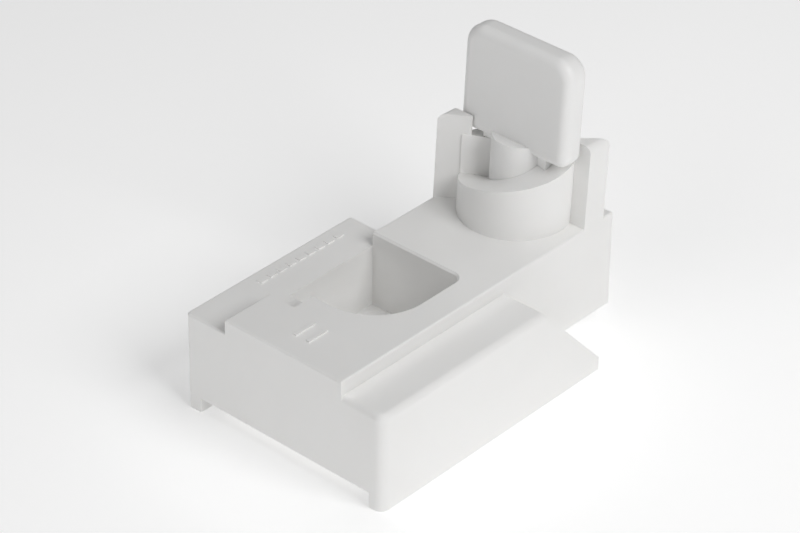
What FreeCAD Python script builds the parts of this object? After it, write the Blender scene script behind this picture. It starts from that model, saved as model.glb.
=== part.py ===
"""Stair gate latch: a moulded base with a turning paddle that drives a locking bolt.

Millimetres, +Z up. The origin is the centre of the footprint on the resting plane.
-Y is the front end, +Y is the end with the paddle, +X is the right side seen from the front.
At rest the paddle lies along X and the bolt is withdrawn. Turning the paddle clockwise,
seen from above, by turn_range lets its two lugs run down the collar's helical ramps.
The hub, its paddle and the bolt are made upright and then leaned back together.
"""
import FreeCAD, Part
import math
import os

V = FreeCAD.Vector
UP = V(0, 0, 1)
TINY = 1e-6                  # for comparing positions

# ---- housing: overall
body_width = 60.0            # across the two feet
body_length = 93.8           # front end to far end
slab_width = 35.4            # raised centre slab
slab_height = 29.7           # top of the slab above the resting plane
ledge_height = 26.0          # top of the side ledges
ledge_length = 54.4          # flat part of each side ledge
slope_run = 20.9             # length of the sloping end of each ledge
slope_end_height = 3.5       # height left at the end of the slope
channel_height = 4.0         # open channel under the body, between the feet
foot_width = 4.0
wall = 2.6                   # general wall of the moulding
corner_radius = 2.4          # upright corner at the front right
strip_corner_radius = 1.0    # upright corner at the front left
ledge_edge_radius = 1.6      # outer top edge of the right ledge
strip_edge_radius = 0.6      # outer top edge of the left ledge
slab_edge_radius = 0.5       # long top edges of the slab

# ---- housing: pocket for the fixing screw
pocket_front = 20.8          # from the front end to the pocket's near wall
pocket_back = 49.0           # from the front end to the pocket's far wall
pocket_round = 14.0          # big round at the near right of the pocket
pocket_right = 9.8           # x of the pocket's right wall
pocket_corner = 2.6          # far right corner
pocket_floor = 9.5           # height of the pocket's floor
pocket_floor_wall = 2.6
pocket_edge_chamfer = 0.5    # softened rim of the pocket
notch_front = 14.2           # from the front end to the start of the lowered corner
notch_slope_foot = 13.5      # distance left of centre where the lowered corner's slope starts
screw_hole_radius = 2.6
screw_seat_radius = 5.0      # mouth of the cone that takes a screw head
screw_from_front = 43.2
screw_x = -12.2
screw_boss_radius = 6.4

# ---- housing: small marks
mark_length = 6.2
mark_width = 0.9
mark_height = 0.35
mark_spacing = 3.9
mark_x = -0.2
mark_from_front = 9.4
mark_root = 0.5              # how far each mark reaches into the surface below it
dash_count = 9               # plain raised dashes along the left ledge
dash_length = 2.2
dash_width = 1.4
dash_height = 0.25
dash_pitch = 3.2
dash_x = -26.3
dash_from_front = 21.0

# ---- hub: collar, ramps and guard wings
hub_from_far_end = 14.6      # turning axis, at the slab's top, to the far end
hub_lean = 3.0               # degrees that the hub leans back
collar_radius = 13.9
ramp_height = 45.4           # ramp height at the paddle's rest direction
ramp_lead = 20.7             # rise of the ramp in one whole turn
wing_height = 51.6
wing_edge_radius = 1.8       # outer top edge of each guard wing
left_wing_reach = 9.1        # outer end of the left wing, in front of the axis
left_wing_tip = 10.4         # inner end of the left wing, left of the axis
right_wing_reach = 11.0      # outer end of the right wing, behind the axis
right_wing_tip = 10.7        # inner end of the right wing, right of the axis
wing_tip_width = 0.6         # blunt inner end of each wing
ramp_end_gap = 1.0           # end wall of each ramp to the flat side of a fully turned paddle
guard_gap = 0.4              # guard wing to the paddle at rest
neck_fit = 0.08              # radial running clearance of the neck in the collar
shelf_height = 27.0          # underside of the collar's guide, where the spring pushes
chamber_radius = 10.4        # spring chamber
chamber_wall = 2.2

# ---- paddle
blade_width = 31.8
blade_thickness = 7.2
blade_bottom = 47.3
blade_top = 74.6
blade_corner = 5.2           # rounding of the blade's two top corners
blade_low_corner = 2.6       # rounding of its two bottom corners
blade_edge_radius = 2.4      # rounding of the blade's front and back edges
neck_radius = 6.7
neck_bottom = 17.6
lug_radius = 9.7             # how far the two lugs reach over the ramps
lug_half_angle = 12.0        # degrees
lug_gap = 0.12               # lug above the ramp
turn_range = 135.0           # degrees of paddle turn

# ---- spindle, bolt and spring
spindle_radius = 2.5
spindle_top = 44.0
spindle_bottom = 8.2
spindle_fit = 0.05           # radial running clearance of the spindle in the bolt
cross_pin_radius = 1.25
cross_pin_length = 12.8
cross_pin_height = 40.0
clip_radius = 4.2
clip_thickness = 0.8
clip_height = 9.2            # underside of the clip
clip_groove_radius = 1.9
clip_recess_radius = 4.7
ring_groove_depth = 1.0
ring_wire = 1.8              # section of the rubber friction ring
ring_height = 31.0
ring_side_gap = 0.05         # ring to each side of its groove
ring_bore_gap = 0.02         # ring to the collar's bore
washer_thickness = 0.4
washer_radius = 6.6
washer_bore_gap = 0.2
axial_gap = 0.1
bolt_radius = 6.5
bolt_half_flat = 5.6         # half the distance across the bolt's two flats
bolt_flange_radius = 9.6
bolt_flange = 1.9
bolt_tip = 4.9               # height of the bolt's tip when withdrawn
bolt_chamfer = 0.8
spring_radius = 8.5          # mean radius of the coil
spring_wire = 1.1
spring_turns = 4.5
spring_sides = 12            # sides of the wire's section
spring_end_gap = 0.02

# ---- base cover and its fasteners
cover_thickness = 2.0
cover_gap = 0.15
guide_wall = 1.8             # wall of the guide bush around the bolt
guide_lip = 1.2
guide_lip_height = 0.5
guide_fit = 0.08             # radial running clearance of the bolt in the bush
guide_seat_gap = 0.05        # bush in the cover's hole
cover_screw_radius = 1.2
cover_screw_clearance = 0.4
cover_screw_head = 2.4
cover_screw_head_height = 1.4
cover_screw_head_gap = 0.15
cover_screw_length = 10.0
cover_screw_slot = 0.6       # width and depth of the driver slot
boss_radius = 3.4
boss_height = 12.0
sleeve_wall = 0.8            # steel sleeve lining the fixing screw hole
sleeve_cap = 0.6             # plastic left above the sleeve
sleeve_gap = 0.1             # sleeve in the cover's hole

# ---- worked out from the above
front = -body_length / 2
far = body_length / 2
hub_y = far - hub_from_far_end
half = body_width / 2
half_slab = slab_width / 2
half_blade = blade_thickness / 2
ledge_end = front + ledge_length
slope_end = ledge_end + slope_run
slope_rise = ledge_height - slope_end_height
inner_half = half - foot_width
cover_top = channel_height + cover_thickness
bore_radius = neck_radius + neck_fit
ramp_end = half_blade + ramp_end_gap
guard_y = half_blade + guard_gap
flange_top = neck_bottom - washer_thickness - 2 * axial_gap
screw_y = front + screw_from_front
seat_depth = screw_seat_radius - screw_hole_radius
sleeve_top = pocket_floor - seat_depth - sleeve_cap
over = 1.0                   # how far cuts run past the surfaces they open
reach = 3 * collar_radius    # past every edge of the hub
diagonal = math.sqrt(0.5)


def box(x0, x1, y0, y1, z0, z1):
    return Part.makeBox(x1 - x0, y1 - y0, z1 - z0, V(x0, y0, z0))


def rod(radius, z0, z1, x=0.0, y=hub_y):
    return Part.makeCylinder(radius, z1 - z0, V(x, y, z0))


def prism(points, direction):
    """Closed polygon through points, extruded along direction."""
    wire = Part.makePolygon(points + [points[0]])
    return Part.Face(wire).extrude(direction)


def turned(shape, degrees):
    """Copy of shape turned about the paddle's axis, before the hub is leaned."""
    copy = shape.copy()
    copy.rotate(V(0, hub_y, 0), UP, degrees)
    return copy


def leaned(shape):
    """Copy of shape leaned back with the hub, about a line across the slab's top."""
    copy = shape.copy()
    copy.rotate(V(0, hub_y, slab_height), V(1, 0, 0), -hub_lean)
    return copy


def both_halves(shape):
    return [shape, turned(shape, 180.0)]


def edges_where(shape, test):
    return [edge for edge in shape.Edges if test(edge)]


def is_upright(edge):
    a = edge.Vertexes[0].Point
    b = edge.Vertexes[-1].Point
    return abs(a.x - b.x) < TINY and abs(a.y - b.y) < TINY and abs(a.z - b.z) > TINY


def lies_at_height(edge, z):
    return all(abs(v.Point.z - z) < TINY for v in edge.Vertexes)


def one_solid(shape):
    """Clean union as a single solid."""
    return shape.removeSplitter().Solids[0]


# ---------------------------------------------------------------- housing
def ledge_half(side, upright_radius, top_radius):
    """Left or right half of the body, with its sloping far end and rounded outer edges."""
    x0 = min(0.0, side * half)
    outline = [V(x0, front, 0), V(x0, slope_end, 0), V(x0, slope_end, slope_end_height),
               V(x0, ledge_end, ledge_height), V(x0, front, ledge_height)]
    block = prism(outline, V(half, 0, 0))

    def at_side(edge):
        return all(abs(v.Point.x - side * half) < TINY for v in edge.Vertexes)

    def at_front(edge):
        return all(abs(v.Point.y - front) < TINY for v in edge.Vertexes)

    corner = edges_where(block, lambda e: is_upright(e) and at_side(e) and at_front(e))
    block = block.makeFillet(upright_radius, corner)
    top = edges_where(block, lambda e: lies_at_height(e, ledge_height) and at_side(e))
    return block.makeFillet(top_radius, top)


def slab_block():
    slab = box(-half_slab, half_slab, front, far, channel_height, slab_height)
    return slab.makeFillet(slab_edge_radius, edges_where(slab, lambda e: lies_at_height(e, slab_height)))


def channel():
    """Open channel between the feet, right through from end to end."""
    return box(-inner_half, inner_half, front - over, far + over, -over, channel_height)


def slope_wall_start():
    """Height at which the inside of the sloping wall meets the end of the flat ledge."""
    return ledge_height - wall * math.hypot(slope_rise, slope_run) / slope_run


def slope_inside_y(z):
    """Where the inside of the sloping wall is at height z."""
    return ledge_end + (slope_wall_start() - z) * slope_run / slope_rise


def cavity():
    """Hollow inside the moulding, open below."""
    low = channel_height - over
    high = ledge_height - wall
    x0 = -inner_half
    side = [V(x0, front + wall, low), V(x0, slope_inside_y(low), low), V(x0, slope_inside_y(high), high),
            V(x0, front + wall, high)]
    wide = prism(side, V(2 * inner_half, 0, 0))
    tall = box(-half_slab + wall, half_slab - wall, front + wall, far - wall, low, slab_height - wall)
    return wide.fuse(tall)


def pocket_wire(grow, z):
    """Plan of the pocket, grown outwards by grow, at height z."""
    left = -half_slab - grow
    right = pocket_right + grow
    back = front + pocket_back + grow
    near = front + pocket_front - grow
    radius = pocket_round + grow
    corner = pocket_corner + grow
    cx = right - radius
    cy = near + radius
    a = V(left, back, z)
    b = V(right - corner, back, z)
    b_mid = V(right - corner + corner * diagonal, back - corner + corner * diagonal, z)
    c = V(right, back - corner, z)
    d = V(right, cy, z)
    d_mid = V(cx + radius * diagonal, cy - radius * diagonal, z)
    e = V(cx, near, z)
    f = V(left, near, z)
    return Part.Wire([Part.makeLine(a, b), Part.Arc(b, b_mid, c).toShape(), Part.makeLine(c, d),
                      Part.Arc(d, d_mid, e).toShape(), Part.makeLine(e, f), Part.makeLine(f, a)])


def pocket_solid(grow, z0, z1):
    return Part.Face(pocket_wire(grow, z0)).extrude(V(0, 0, z1 - z0))


def pocket_rim():
    """Cut that softens the pocket's rim with a chamfer."""
    low = slab_height - pocket_edge_chamfer
    high = slab_height + over
    return Part.makeLoft([pocket_wire(0.0, low), pocket_wire(high - low, high)], True)


def pocket_tub():
    """Walls and floor around the pocket, inside the body."""
    low = pocket_floor - pocket_floor_wall
    tub = pocket_solid(wall, low, slab_height)
    below_ledges = box(-half, half, front, far, low, ledge_height)
    return tub.common(below_ledges.fuse(box(-half_slab, half_slab, front, far, low, slab_height)))


def corner_roof():
    """Roof that closes the hollow under the lowered corner."""
    rise = slab_height - ledge_height
    return box(-half_slab, wall + rise - notch_slope_foot, front + notch_front - wall, front + pocket_front,
               ledge_height - wall, slab_height - slab_edge_radius)


def lowered_corner():
    """Cut that lowers the slab's left edge to the strip between its front block and the pocket."""
    rise = slab_height - ledge_height
    y0 = front + notch_front
    y1 = front + pocket_front + over
    points = [V(-half_slab - over, y0, ledge_height), V(-notch_slope_foot, y0, ledge_height),
              V(-notch_slope_foot + rise + over, y0, slab_height + over),
              V(-half_slab - over, y0, slab_height + over)]
    return prism(points, V(0, y1 - y0, 0))


def screw_boss():
    return rod(screw_boss_radius, cover_top + cover_gap, pocket_floor, screw_x, screw_y)


def screw_hole():
    """Hole with a cone for a countersunk screw head, and the counterbore of the steel sleeve."""
    hole = rod(screw_hole_radius, 0, pocket_floor + over, screw_x, screw_y)
    seat = Part.makeCone(screw_hole_radius, screw_seat_radius, seat_depth,
                         V(screw_x, screw_y, pocket_floor - seat_depth))
    sleeve = rod(screw_hole_radius + sleeve_wall, 0, sleeve_top, screw_x, screw_y)
    return hole.fuse([seat, sleeve])


def raised_bar(x, y, width, length, surface, height):
    """Small bar along Y that stands on a level surface."""
    return box(x - width / 2, x + width / 2, y - length / 2, y + length / 2, surface - mark_root,
               surface + height)


def front_marks():
    """Two short raised bars on the front of the slab."""
    return [raised_bar(mark_x + side * mark_spacing / 2, front + mark_from_front, mark_width, mark_length,
                       slab_height, mark_height) for side in (-1, 1)]


def strip_dashes():
    """Row of plain dashes along the left ledge."""
    return [raised_bar(dash_x, front + dash_from_front + i * dash_pitch, dash_width, dash_length,
                       ledge_height, dash_height) for i in range(dash_count)]


def above_ramp(inner, outer, start, sweep, lift, height):
    """Solid that stands on the ramp's helical surface between two radii.

    The surface rises by ramp_lead each turn and is at ramp_height in the direction of +X.
    """
    path = Part.makeHelix(ramp_lead, ramp_lead * sweep / 360.0, (inner + outer) / 2)
    section = Part.makePolygon([V(inner, 0, 0), V(outer, 0, 0), V(outer, 0, height), V(inner, 0, height),
                                V(inner, 0, 0)])
    solid = Part.Wire(path.Edges).makePipeShell([section], True, True)
    solid.rotate(V(0, 0, 0), UP, start)
    solid.translate(V(0, hub_y, ramp_height + ramp_lead * start / 360.0 + lift))
    return solid


def ramp_half(z0, z1):
    """Half of the hub's plan that belongs to one ramp, bounded by the two 45 degree end walls."""
    def at(across, along):
        return V(diagonal * (across + along), hub_y + diagonal * (along - across), z0)

    points = [at(-ramp_end, -reach), at(reach, -reach), at(reach, reach),
              at(ramp_end, reach), at(ramp_end, 0), at(-ramp_end, 0)]
    return prism(points, V(0, 0, z1 - z0))


def collar():
    """Round collar whose top is two helical ramps."""
    top = wing_height
    body = rod(collar_radius, slab_height - wall, top)
    space = above_ramp(bore_radius / 2, collar_radius + over, -178.0, 240.0, 0.0, blade_top - ramp_height)
    space = space.common(ramp_half(slab_height, top + over))
    return body.cut(both_halves(space))


def guard_wing(side, outer_reach, tip):
    """Guard wing: one face along the paddle, one slanting face, and an outer face flush with the slab."""
    x = side * half_slab
    y = side * guard_y
    slope = (outer_reach - guard_y) / (half_slab - tip)
    z0 = slab_height - wall
    blunt = wing_tip_width
    points = [V(x, hub_y + y, z0), V(x, hub_y + side * outer_reach, z0),
              V(side * (tip + blunt / slope), hub_y + side * (guard_y + blunt), z0),
              V(side * (tip + blunt / slope), hub_y + y, z0)]
    wing = prism(points, V(0, 0, wing_height - z0))
    top = edges_where(wing, lambda e: lies_at_height(e, wing_height)
                      and all(abs(v.Point.x - x) < TINY for v in e.Vertexes))
    return wing.makeFillet(wing_edge_radius, top)


def hub_tube():
    """Tube around the spring, hanging from the slab's top."""
    tube = leaned(rod(chamber_radius + chamber_wall, 0, slab_height - slab_edge_radius))
    return tube.common(box(-half, half, 0, far, cover_top + cover_gap, slab_height))


def cover_boss_places():
    inset = boss_radius - over / 2
    near = front + wall + inset
    side = inner_half - inset
    rear_side = half_slab - wall - inset
    return [(-side, near), (side, near), (-side, ledge_end - boss_radius), (side, ledge_end - boss_radius),
            (-rear_side, far - wall - boss_radius), (rear_side, far - wall - boss_radius)]


def housing():
    outer = ledge_half(-1, strip_corner_radius, strip_edge_radius)
    outer = outer.fuse([ledge_half(1, corner_radius, ledge_edge_radius), slab_block()])
    hollow = outer.cut(channel()).cut(cavity())
    added = [pocket_tub(), corner_roof(), screw_boss(), hub_tube(), leaned(collar()),
             leaned(guard_wing(-1, left_wing_reach, left_wing_tip)),
             leaned(guard_wing(1, right_wing_reach, right_wing_tip))]
    added += [rod(boss_radius, cover_top + cover_gap, cover_top + boss_height, x, y)
              for x, y in cover_boss_places()]
    solid = hollow.fuse(added)
    cuts = [pocket_solid(0.0, pocket_floor, slab_height + over), pocket_rim(), lowered_corner(), screw_hole(),
            leaned(rod(chamber_radius, 0, shelf_height)), leaned(rod(bore_radius, 0, blade_top))]
    cuts += [rod(cover_screw_radius, 0, cover_top + cover_screw_length, x, y)
             for x, y in cover_boss_places()]
    return one_solid(solid.cut(cuts).fuse(front_marks() + strip_dashes()))


# ---------------------------------------------------------------- paddle
def blade():
    """Rounded plate, standing across the body at rest."""
    y = hub_y - half_blade
    plate = box(-blade_width / 2, blade_width / 2, y, y + blade_thickness, blade_bottom, blade_top)

    def corners(z):
        return edges_where(plate, lambda e: lies_at_height(e, z)
                           and abs(e.Vertexes[0].Point.x - e.Vertexes[-1].Point.x) < TINY)

    plate = plate.makeFillet(blade_corner, corners(blade_top))
    plate = plate.makeFillet(blade_low_corner, corners(blade_bottom))

    def on_face(edge):
        ys = [v.Point.y for v in edge.Vertexes]
        return max(abs(v - y) for v in ys) < TINY or max(abs(v - y - blade_thickness) for v in ys) < TINY

    return plate.makeFillet(blade_edge_radius, edges_where(plate, on_face))


def lug():
    """Follower lug under the blade, with the ramp's own helical underside."""
    solid = above_ramp(spindle_radius / 2, lug_radius, -lug_half_angle, 2 * lug_half_angle, lug_gap,
                       blade_top - ramp_height)
    return solid.common(rod(reach, ramp_height - ramp_lead, blade_bottom + blade_edge_radius))


def paddle():
    neck = rod(neck_radius, neck_bottom, blade_bottom + blade_edge_radius)
    solid = blade().fuse([neck] + both_halves(lug()))
    groove = rod(reach, ring_height, ring_height + ring_wire)
    groove = groove.cut(rod(neck_radius - ring_groove_depth, 0, blade_top))
    hole = rod(spindle_radius, 0, spindle_top)
    return leaned(one_solid(solid.cut([groove, hole, cross_rod(2 * reach)])))


def friction_ring():
    """Rubber ring in the neck's groove, squeezed to the groove's size."""
    outer = rod(bore_radius - ring_bore_gap, ring_height + ring_side_gap,
                ring_height + ring_wire - ring_side_gap)
    return leaned(outer.cut(rod(neck_radius - ring_groove_depth, 0, blade_top)))


def cross_rod(length):
    return Part.makeCylinder(cross_pin_radius, length, V(-length / 2, hub_y, cross_pin_height), V(1, 0, 0))


def spindle():
    shaft = rod(spindle_radius, spindle_bottom, spindle_top)
    groove = rod(reach, clip_height, clip_height + clip_thickness)
    groove = groove.cut(rod(clip_groove_radius, 0, spindle_top))
    return leaned(one_solid(shaft.cut([groove, cross_rod(2 * reach)])))


def cross_pin():
    return leaned(cross_rod(cross_pin_length))


def retaining_clip():
    """Open clip in the spindle's groove."""
    ring = rod(clip_radius, clip_height, clip_height + clip_thickness)
    slot = box(-clip_groove_radius, clip_groove_radius, hub_y - reach, hub_y, 0, clip_height + over)
    return leaned(one_solid(ring.cut([rod(clip_groove_radius, 0, spindle_top), slot])))


# ---------------------------------------------------------------- bolt
def flatted_rod(radius, half_flat, z0, z1):
    """Rod with two flats facing -Y and +Y."""
    return rod(radius, z0, z1).common(box(-radius, radius, hub_y - half_flat, hub_y + half_flat, z0, z1))


def locking_bolt():
    shank = flatted_rod(bolt_radius, bolt_half_flat, bolt_tip, flange_top)
    tip = edges_where(shank, lambda e: lies_at_height(e, bolt_tip))
    shank = shank.makeChamfer(bolt_chamfer, tip)
    flange = rod(bolt_flange_radius, flange_top - bolt_flange, flange_top)
    bore = rod(spindle_radius + spindle_fit, 0, flange_top + over)
    recess = rod(clip_recess_radius, 0, clip_height + clip_thickness + axial_gap)
    return leaned(one_solid(shank.fuse(flange).cut([bore, recess])))


def thrust_washer():
    z0 = flange_top + axial_gap
    ring = rod(washer_radius, z0, z0 + washer_thickness)
    return leaned(ring.cut(rod(spindle_radius + washer_bore_gap, 0, spindle_top)))


def bolt_spring():
    """Compression spring between the collar's shelf and the bolt's flange."""
    z0 = flange_top + spring_wire / 2 + spring_end_gap
    z1 = shelf_height - spring_wire / 2 - spring_end_gap
    path = Part.makeHelix((z1 - z0) / spring_turns, z1 - z0, spring_radius)
    corners = []
    for i in range(spring_sides + 1):
        angle = 2 * math.pi * (i % spring_sides) / spring_sides
        corners.append(V(spring_radius + spring_wire / 2 * math.cos(angle), 0,
                         spring_wire / 2 * math.sin(angle)))
    coil = Part.Wire(path.Edges).makePipeShell([Part.makePolygon(corners)], True, True)
    coil.translate(V(0, hub_y, z0))
    return leaned(coil.Solids[0])


# ---------------------------------------------------------------- base cover
def bush_centre():
    """Where the leaned axis passes through the cover's top."""
    return hub_y + (cover_top - slab_height) * math.tan(math.radians(hub_lean))


def guide_bush():
    """Lipped bush, seated in the cover, that guides the bolt's flats."""
    lip_bottom = cover_top + cover_gap / 2
    body = leaned(rod(bolt_radius + guide_wall, 0, cover_top + 2 * over))
    body = body.common(box(-half, half, 0, far, channel_height, lip_bottom))
    lip = rod(bolt_radius + guide_wall + guide_lip, lip_bottom, lip_bottom + guide_lip_height, 0, bush_centre())
    bore = leaned(flatted_rod(bolt_radius + guide_fit, bolt_half_flat + guide_fit, 0, flange_top))
    return one_solid(body.fuse(lip).cut(bore))


def cover_outline(gap, z0, z1):
    """T-shaped plate that fills the mouth of the hollow, less gap all round."""
    wide = box(-inner_half + gap, inner_half - gap, front + wall + gap, slope_inside_y(cover_top) - gap, z0, z1)
    tall = box(-half_slab + wall + gap, half_slab - wall - gap, front + wall + gap, far - wall - gap, z0, z1)
    return wide.fuse(tall).removeSplitter()


def base_cover():
    plate = cover_outline(cover_gap, channel_height, cover_top)
    cuts = [leaned(rod(bolt_radius + guide_wall + guide_seat_gap, 0, flange_top)),
            rod(screw_hole_radius + sleeve_wall + sleeve_gap, 0, flange_top, screw_x, screw_y)]
    for x, y in cover_boss_places():
        cuts.append(rod(cover_screw_radius + cover_screw_clearance, 0, flange_top, x, y))
        cuts.append(rod(cover_screw_head + cover_screw_head_gap, 0, channel_height + cover_screw_head_height,
                        x, y))
    return one_solid(plate.cut(cuts))


def cover_screw(x, y):
    z0 = channel_height + axial_gap
    head = rod(cover_screw_head, z0, channel_height + cover_screw_head_height, x, y)
    shank = rod(cover_screw_radius, z0, channel_height + cover_screw_length, x, y)
    slot = box(x - cover_screw_head, x + cover_screw_head, y - cover_screw_slot / 2, y + cover_screw_slot / 2,
               0, z0 + cover_screw_slot)
    return one_solid(head.fuse(shank).cut(slot))


def cover_screws():
    """Self-tapping screws that hold the base cover."""
    return Part.makeCompound([cover_screw(x, y) for x, y in cover_boss_places()])


def fixing_sleeve():
    """Steel sleeve that takes the clamping load of the fixing screw."""
    outer = rod(screw_hole_radius + sleeve_wall, channel_height, sleeve_top, screw_x, screw_y)
    return outer.cut(rod(screw_hole_radius, 0, pocket_floor, screw_x, screw_y))


NODES = {
    "housing": housing,
    "paddle": paddle,
    "friction_ring": friction_ring,
    "spindle": spindle,
    "cross_pin": cross_pin,
    "retaining_clip": retaining_clip,
    "locking_bolt": locking_bolt,
    "thrust_washer": thrust_washer,
    "bolt_spring": bolt_spring,
    "guide_bush": guide_bush,
    "base_cover": base_cover,
    "cover_screws": cover_screws,
    "fixing_sleeve": fixing_sleeve,
}

os.makedirs("parts", exist_ok=True)
for name, make in NODES.items():
    shape = make()
    shape.exportStep("parts/" + name + ".step")
    print(name, len(shape.Solids), shape.isValid(), round(shape.Volume, 1), shape.BoundBox)
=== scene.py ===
"""Looks of the stair gate latch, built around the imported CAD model. Metres, +Z up."""

import bpy
from mathutils import Matrix, Vector

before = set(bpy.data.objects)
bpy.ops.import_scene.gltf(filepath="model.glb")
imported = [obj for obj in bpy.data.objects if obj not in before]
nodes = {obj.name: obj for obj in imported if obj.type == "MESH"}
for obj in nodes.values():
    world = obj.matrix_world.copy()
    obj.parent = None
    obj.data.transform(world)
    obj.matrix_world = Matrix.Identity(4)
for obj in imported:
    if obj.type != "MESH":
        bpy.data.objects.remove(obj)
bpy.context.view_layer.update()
scene = bpy.context.scene

# ---- colours, linear
WHITE_BODY = (0.93, 0.925, 0.912, 1.0)
WHITE_PADDLE = (0.92, 0.917, 0.908, 1.0)
WHITE_SLIPPERY = (0.76, 0.76, 0.73, 1.0)
STEEL_TURNED = (0.62, 0.62, 0.63, 1.0)
STEEL_SPRING = (0.48, 0.48, 0.49, 1.0)
STEEL_ZINC = (0.66, 0.67, 0.69, 1.0)
RUBBER_BLACK = (0.03, 0.03, 0.032, 1.0)
FLOOR_WHITE = (0.95, 0.95, 0.95, 1.0)
LIGHT_WHITE = (1.0, 1.0, 1.0, 1.0)

# ---- texture scales, in features per metre
MOTTLE_SCALE = 45.0
FLOW_SCALE = 320.0
GRAIN_SCALE = 2600.0
STEEL_LINE_SCALE = 900.0
RUBBER_GRAIN_SCALE = 1500.0


# ---- materials
def new_material(name):
    material = bpy.data.materials.new(name)
    material.use_nodes = True
    tree = material.node_tree
    shader = tree.nodes["Principled BSDF"]
    return material, tree, shader


def noise(tree, scale, detail, roughness=0.5):
    """Noise in the object's own coordinates."""
    coords = tree.nodes.new("ShaderNodeTexCoord")
    node = tree.nodes.new("ShaderNodeTexNoise")
    node.inputs["Scale"].default_value = scale
    node.inputs["Detail"].default_value = detail
    node.inputs["Roughness"].default_value = roughness
    tree.links.new(coords.outputs["Object"], node.inputs["Vector"])
    return node


def ramp(tree, source, low, high):
    """Source's middle range, spread over low to high."""
    node = tree.nodes.new("ShaderNodeMapRange")
    node.inputs["From Min"].default_value = 0.3
    node.inputs["From Max"].default_value = 0.7
    node.inputs["To Min"].default_value = low
    node.inputs["To Max"].default_value = high
    tree.links.new(source, node.inputs["Value"])
    return node.outputs["Result"]


def tinted(tree, source, colour, low, high):
    """Colour varied in brightness between low and high by source."""
    mix = tree.nodes.new("ShaderNodeMix")
    mix.data_type = "RGBA"
    mix.inputs[6].default_value = tuple(c * low for c in colour[:3]) + (1.0,)
    mix.inputs[7].default_value = tuple(min(1.0, c * high) for c in colour[:3]) + (1.0,)
    tree.links.new(ramp(tree, source, 0.0, 1.0), mix.inputs[0])
    return mix.outputs[2]


def moulded(name, colour, gloss, grain=1.0):
    """White moulded plastic: very slight mottling, fine grain and faint flow marks."""
    material, tree, shader = new_material(name)
    broad = noise(tree, MOTTLE_SCALE, 3.0)
    fine = noise(tree, GRAIN_SCALE, 3.0, 0.6)
    middle = noise(tree, FLOW_SCALE, 4.0, 0.55)
    tree.links.new(tinted(tree, broad.outputs["Fac"], colour, 0.985, 1.01), shader.inputs["Base Color"])
    tree.links.new(ramp(tree, middle.outputs["Fac"], gloss - 0.05, gloss + 0.06), shader.inputs["Roughness"])
    bump_fine = tree.nodes.new("ShaderNodeBump")
    bump_fine.inputs["Strength"].default_value = 0.10 * grain
    bump_fine.inputs["Distance"].default_value = 0.00006
    tree.links.new(fine.outputs["Fac"], bump_fine.inputs["Height"])
    bump_broad = tree.nodes.new("ShaderNodeBump")
    bump_broad.inputs["Strength"].default_value = 0.12 * grain
    bump_broad.inputs["Distance"].default_value = 0.0002
    tree.links.new(middle.outputs["Fac"], bump_broad.inputs["Height"])
    tree.links.new(bump_fine.outputs["Normal"], bump_broad.inputs["Normal"])
    tree.links.new(bump_broad.outputs["Normal"], shader.inputs["Normal"])
    shader.inputs["IOR"].default_value = 1.46
    shader.inputs["Specular IOR Level"].default_value = 0.45
    shader.inputs["Subsurface Weight"].default_value = 0.12
    shader.inputs["Subsurface Radius"].default_value = (1.0, 0.95, 0.9)
    shader.inputs["Subsurface Scale"].default_value = 0.0008
    return material


def metal(name, colour, gloss, stretch):
    """Drawn or turned steel with fine lines across its length."""
    material, tree, shader = new_material(name)
    coords = tree.nodes.new("ShaderNodeTexCoord")
    mapping = tree.nodes.new("ShaderNodeMapping")
    mapping.inputs["Scale"].default_value = stretch
    tree.links.new(coords.outputs["Object"], mapping.inputs["Vector"])
    lines = tree.nodes.new("ShaderNodeTexNoise")
    lines.inputs["Scale"].default_value = STEEL_LINE_SCALE
    lines.inputs["Detail"].default_value = 5.0
    tree.links.new(mapping.outputs["Vector"], lines.inputs["Vector"])
    tree.links.new(tinted(tree, lines.outputs["Fac"], colour, 0.85, 1.1), shader.inputs["Base Color"])
    tree.links.new(ramp(tree, lines.outputs["Fac"], gloss - 0.06, gloss + 0.1), shader.inputs["Roughness"])
    bump = tree.nodes.new("ShaderNodeBump")
    bump.inputs["Strength"].default_value = 0.15
    bump.inputs["Distance"].default_value = 0.00004
    tree.links.new(lines.outputs["Fac"], bump.inputs["Height"])
    tree.links.new(bump.outputs["Normal"], shader.inputs["Normal"])
    shader.inputs["Metallic"].default_value = 1.0
    return material


def rubber(name):
    """Black rubber with a fine matt grain."""
    material, tree, shader = new_material(name)
    fine = noise(tree, RUBBER_GRAIN_SCALE, 4.0)
    tree.links.new(tinted(tree, fine.outputs["Fac"], RUBBER_BLACK, 0.8, 1.3),
                   shader.inputs["Base Color"])
    tree.links.new(ramp(tree, fine.outputs["Fac"], 0.55, 0.75), shader.inputs["Roughness"])
    bump = tree.nodes.new("ShaderNodeBump")
    bump.inputs["Strength"].default_value = 0.2
    bump.inputs["Distance"].default_value = 0.00005
    tree.links.new(fine.outputs["Fac"], bump.inputs["Height"])
    tree.links.new(bump.outputs["Normal"], shader.inputs["Normal"])
    return material


body_white = moulded("body_white", WHITE_BODY, 0.42)
paddle_white = moulded("paddle_white", WHITE_PADDLE, 0.38, 0.7)
slippery_white = moulded("slippery_white", WHITE_SLIPPERY, 0.33, 0.5)
turned_steel = metal("turned_steel", STEEL_TURNED, 0.28, (1.0, 1.0, 12.0))
spring_wire = metal("spring_wire", STEEL_SPRING, 0.34, (1.0, 1.0, 3.0))
zinc = metal("zinc", STEEL_ZINC, 0.33, (1.0, 1.0, 2.0))
black_rubber = rubber("black_rubber")

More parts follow.
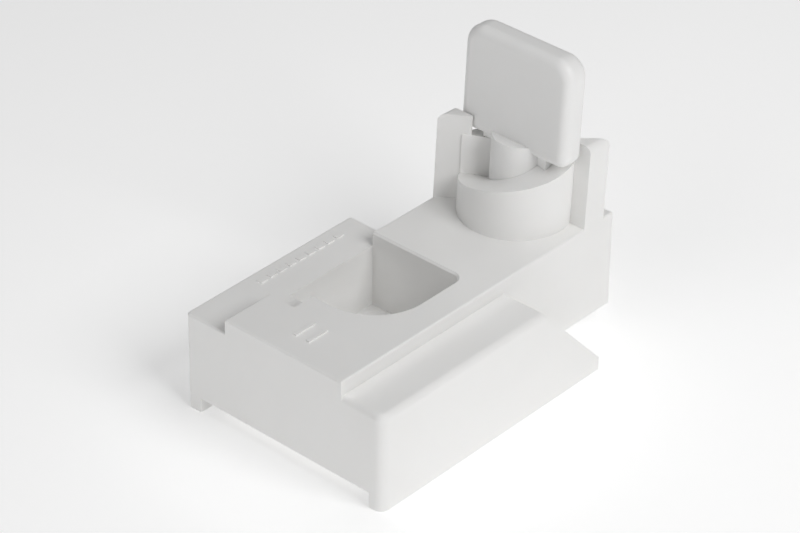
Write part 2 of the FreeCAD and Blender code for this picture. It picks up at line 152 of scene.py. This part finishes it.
FINISH = {
    "housing": body_white,
    "base_cover": body_white,
    "paddle": paddle_white,
    "locking_bolt": slippery_white,
    "guide_bush": slippery_white,
    "spindle": turned_steel,
    "cross_pin": turned_steel,
    "thrust_washer": turned_steel,
    "retaining_clip": spring_wire,
    "bolt_spring": spring_wire,
    "cover_screws": zinc,
    "fixing_sleeve": zinc,
    "friction_ring": black_rubber,
}
for name, node in nodes.items():
    material = FINISH[name]
    if not node.data.materials:
        node.data.materials.append(material)
    for slot in node.material_slots:
        slot.material = material

# ---- floor
FLOOR_SIZE = 4.0
FLOOR_GLOW = 0.30            # lights the sides from below, like a lit table
FLOOR_DROP = 0.0001          # floor below the feet
floor_mesh = bpy.data.meshes.new("floor")
edge = FLOOR_SIZE / 2
floor_corners = [(-edge, -edge, 0), (edge, -edge, 0), (edge, edge, 0), (-edge, edge, 0)]
floor_mesh.from_pydata(floor_corners, [], [(0, 1, 2, 3)])
floor = bpy.data.objects.new("floor", floor_mesh)
floor.location.z = -FLOOR_DROP
scene.collection.objects.link(floor)
floor_material, _, floor_shader = new_material("floor_white")
floor_shader.inputs["Base Color"].default_value = FLOOR_WHITE
floor_shader.inputs["Roughness"].default_value = 0.9
floor_shader.inputs["Emission Color"].default_value = LIGHT_WHITE
floor_shader.inputs["Emission Strength"].default_value = FLOOR_GLOW
floor_mesh.materials.append(floor_material)

# ---- light
SKY = 0.04                   # strength of the even light from all round
AIM = (0, 0, 0.03)           # where every light points
world = bpy.data.worlds.new("studio")
scene.world = world
world.use_nodes = True
world.node_tree.nodes["Background"].inputs["Color"].default_value = LIGHT_WHITE
world.node_tree.nodes["Background"].inputs["Strength"].default_value = SKY


def area_light(name, place, size, power):
    """Square lamp at place, pointing at AIM."""
    data = bpy.data.lights.new(name, "AREA")
    data.shape = "SQUARE"
    data.size = size
    data.energy = power
    lamp = bpy.data.objects.new(name, data)
    scene.collection.objects.link(lamp)
    lamp.location = place
    direction = Vector(AIM) - Vector(place)
    lamp.rotation_euler = direction.to_track_quat("-Z", "Y").to_euler()


LIGHTS = [                   # name, place, side, power
    ("high_key", (0.64, -0.02, 0.60), 0.5, 3.7),
    ("front_fill", (-0.15, -0.9, 0.45), 0.8, 2.2),
    ("top", (0.0, 0.25, 0.9), 0.7, 2.1),
]
for name, place, size, power in LIGHTS:
    area_light(name, place, size, power)

# ---- camera
camera_data = bpy.data.cameras.new("camera")
camera_data.lens = 152.94
camera_data.sensor_width = 36.0
camera_data.clip_start = 0.01
camera_data.clip_end = 20.0
camera = bpy.data.objects.new("camera", camera_data)
scene.collection.objects.link(camera)
CAMERA_PLACE = Vector((0.42577, -0.48762, 0.46062))
CAMERA_RIGHT = Vector((0.74313, 0.66907, 0.01031))
CAMERA_UP = Vector((-0.37755, 0.40652, 0.83198))
CAMERA_BACK = Vector((0.55246, -0.62217, 0.55470))
axes = Matrix((CAMERA_RIGHT, CAMERA_UP, CAMERA_BACK)).transposed()
camera.matrix_world = Matrix.Translation(CAMERA_PLACE) @ axes.to_4x4()
scene.camera = camera

scene.view_settings.view_transform = "Standard"
scene.view_settings.look = "None"
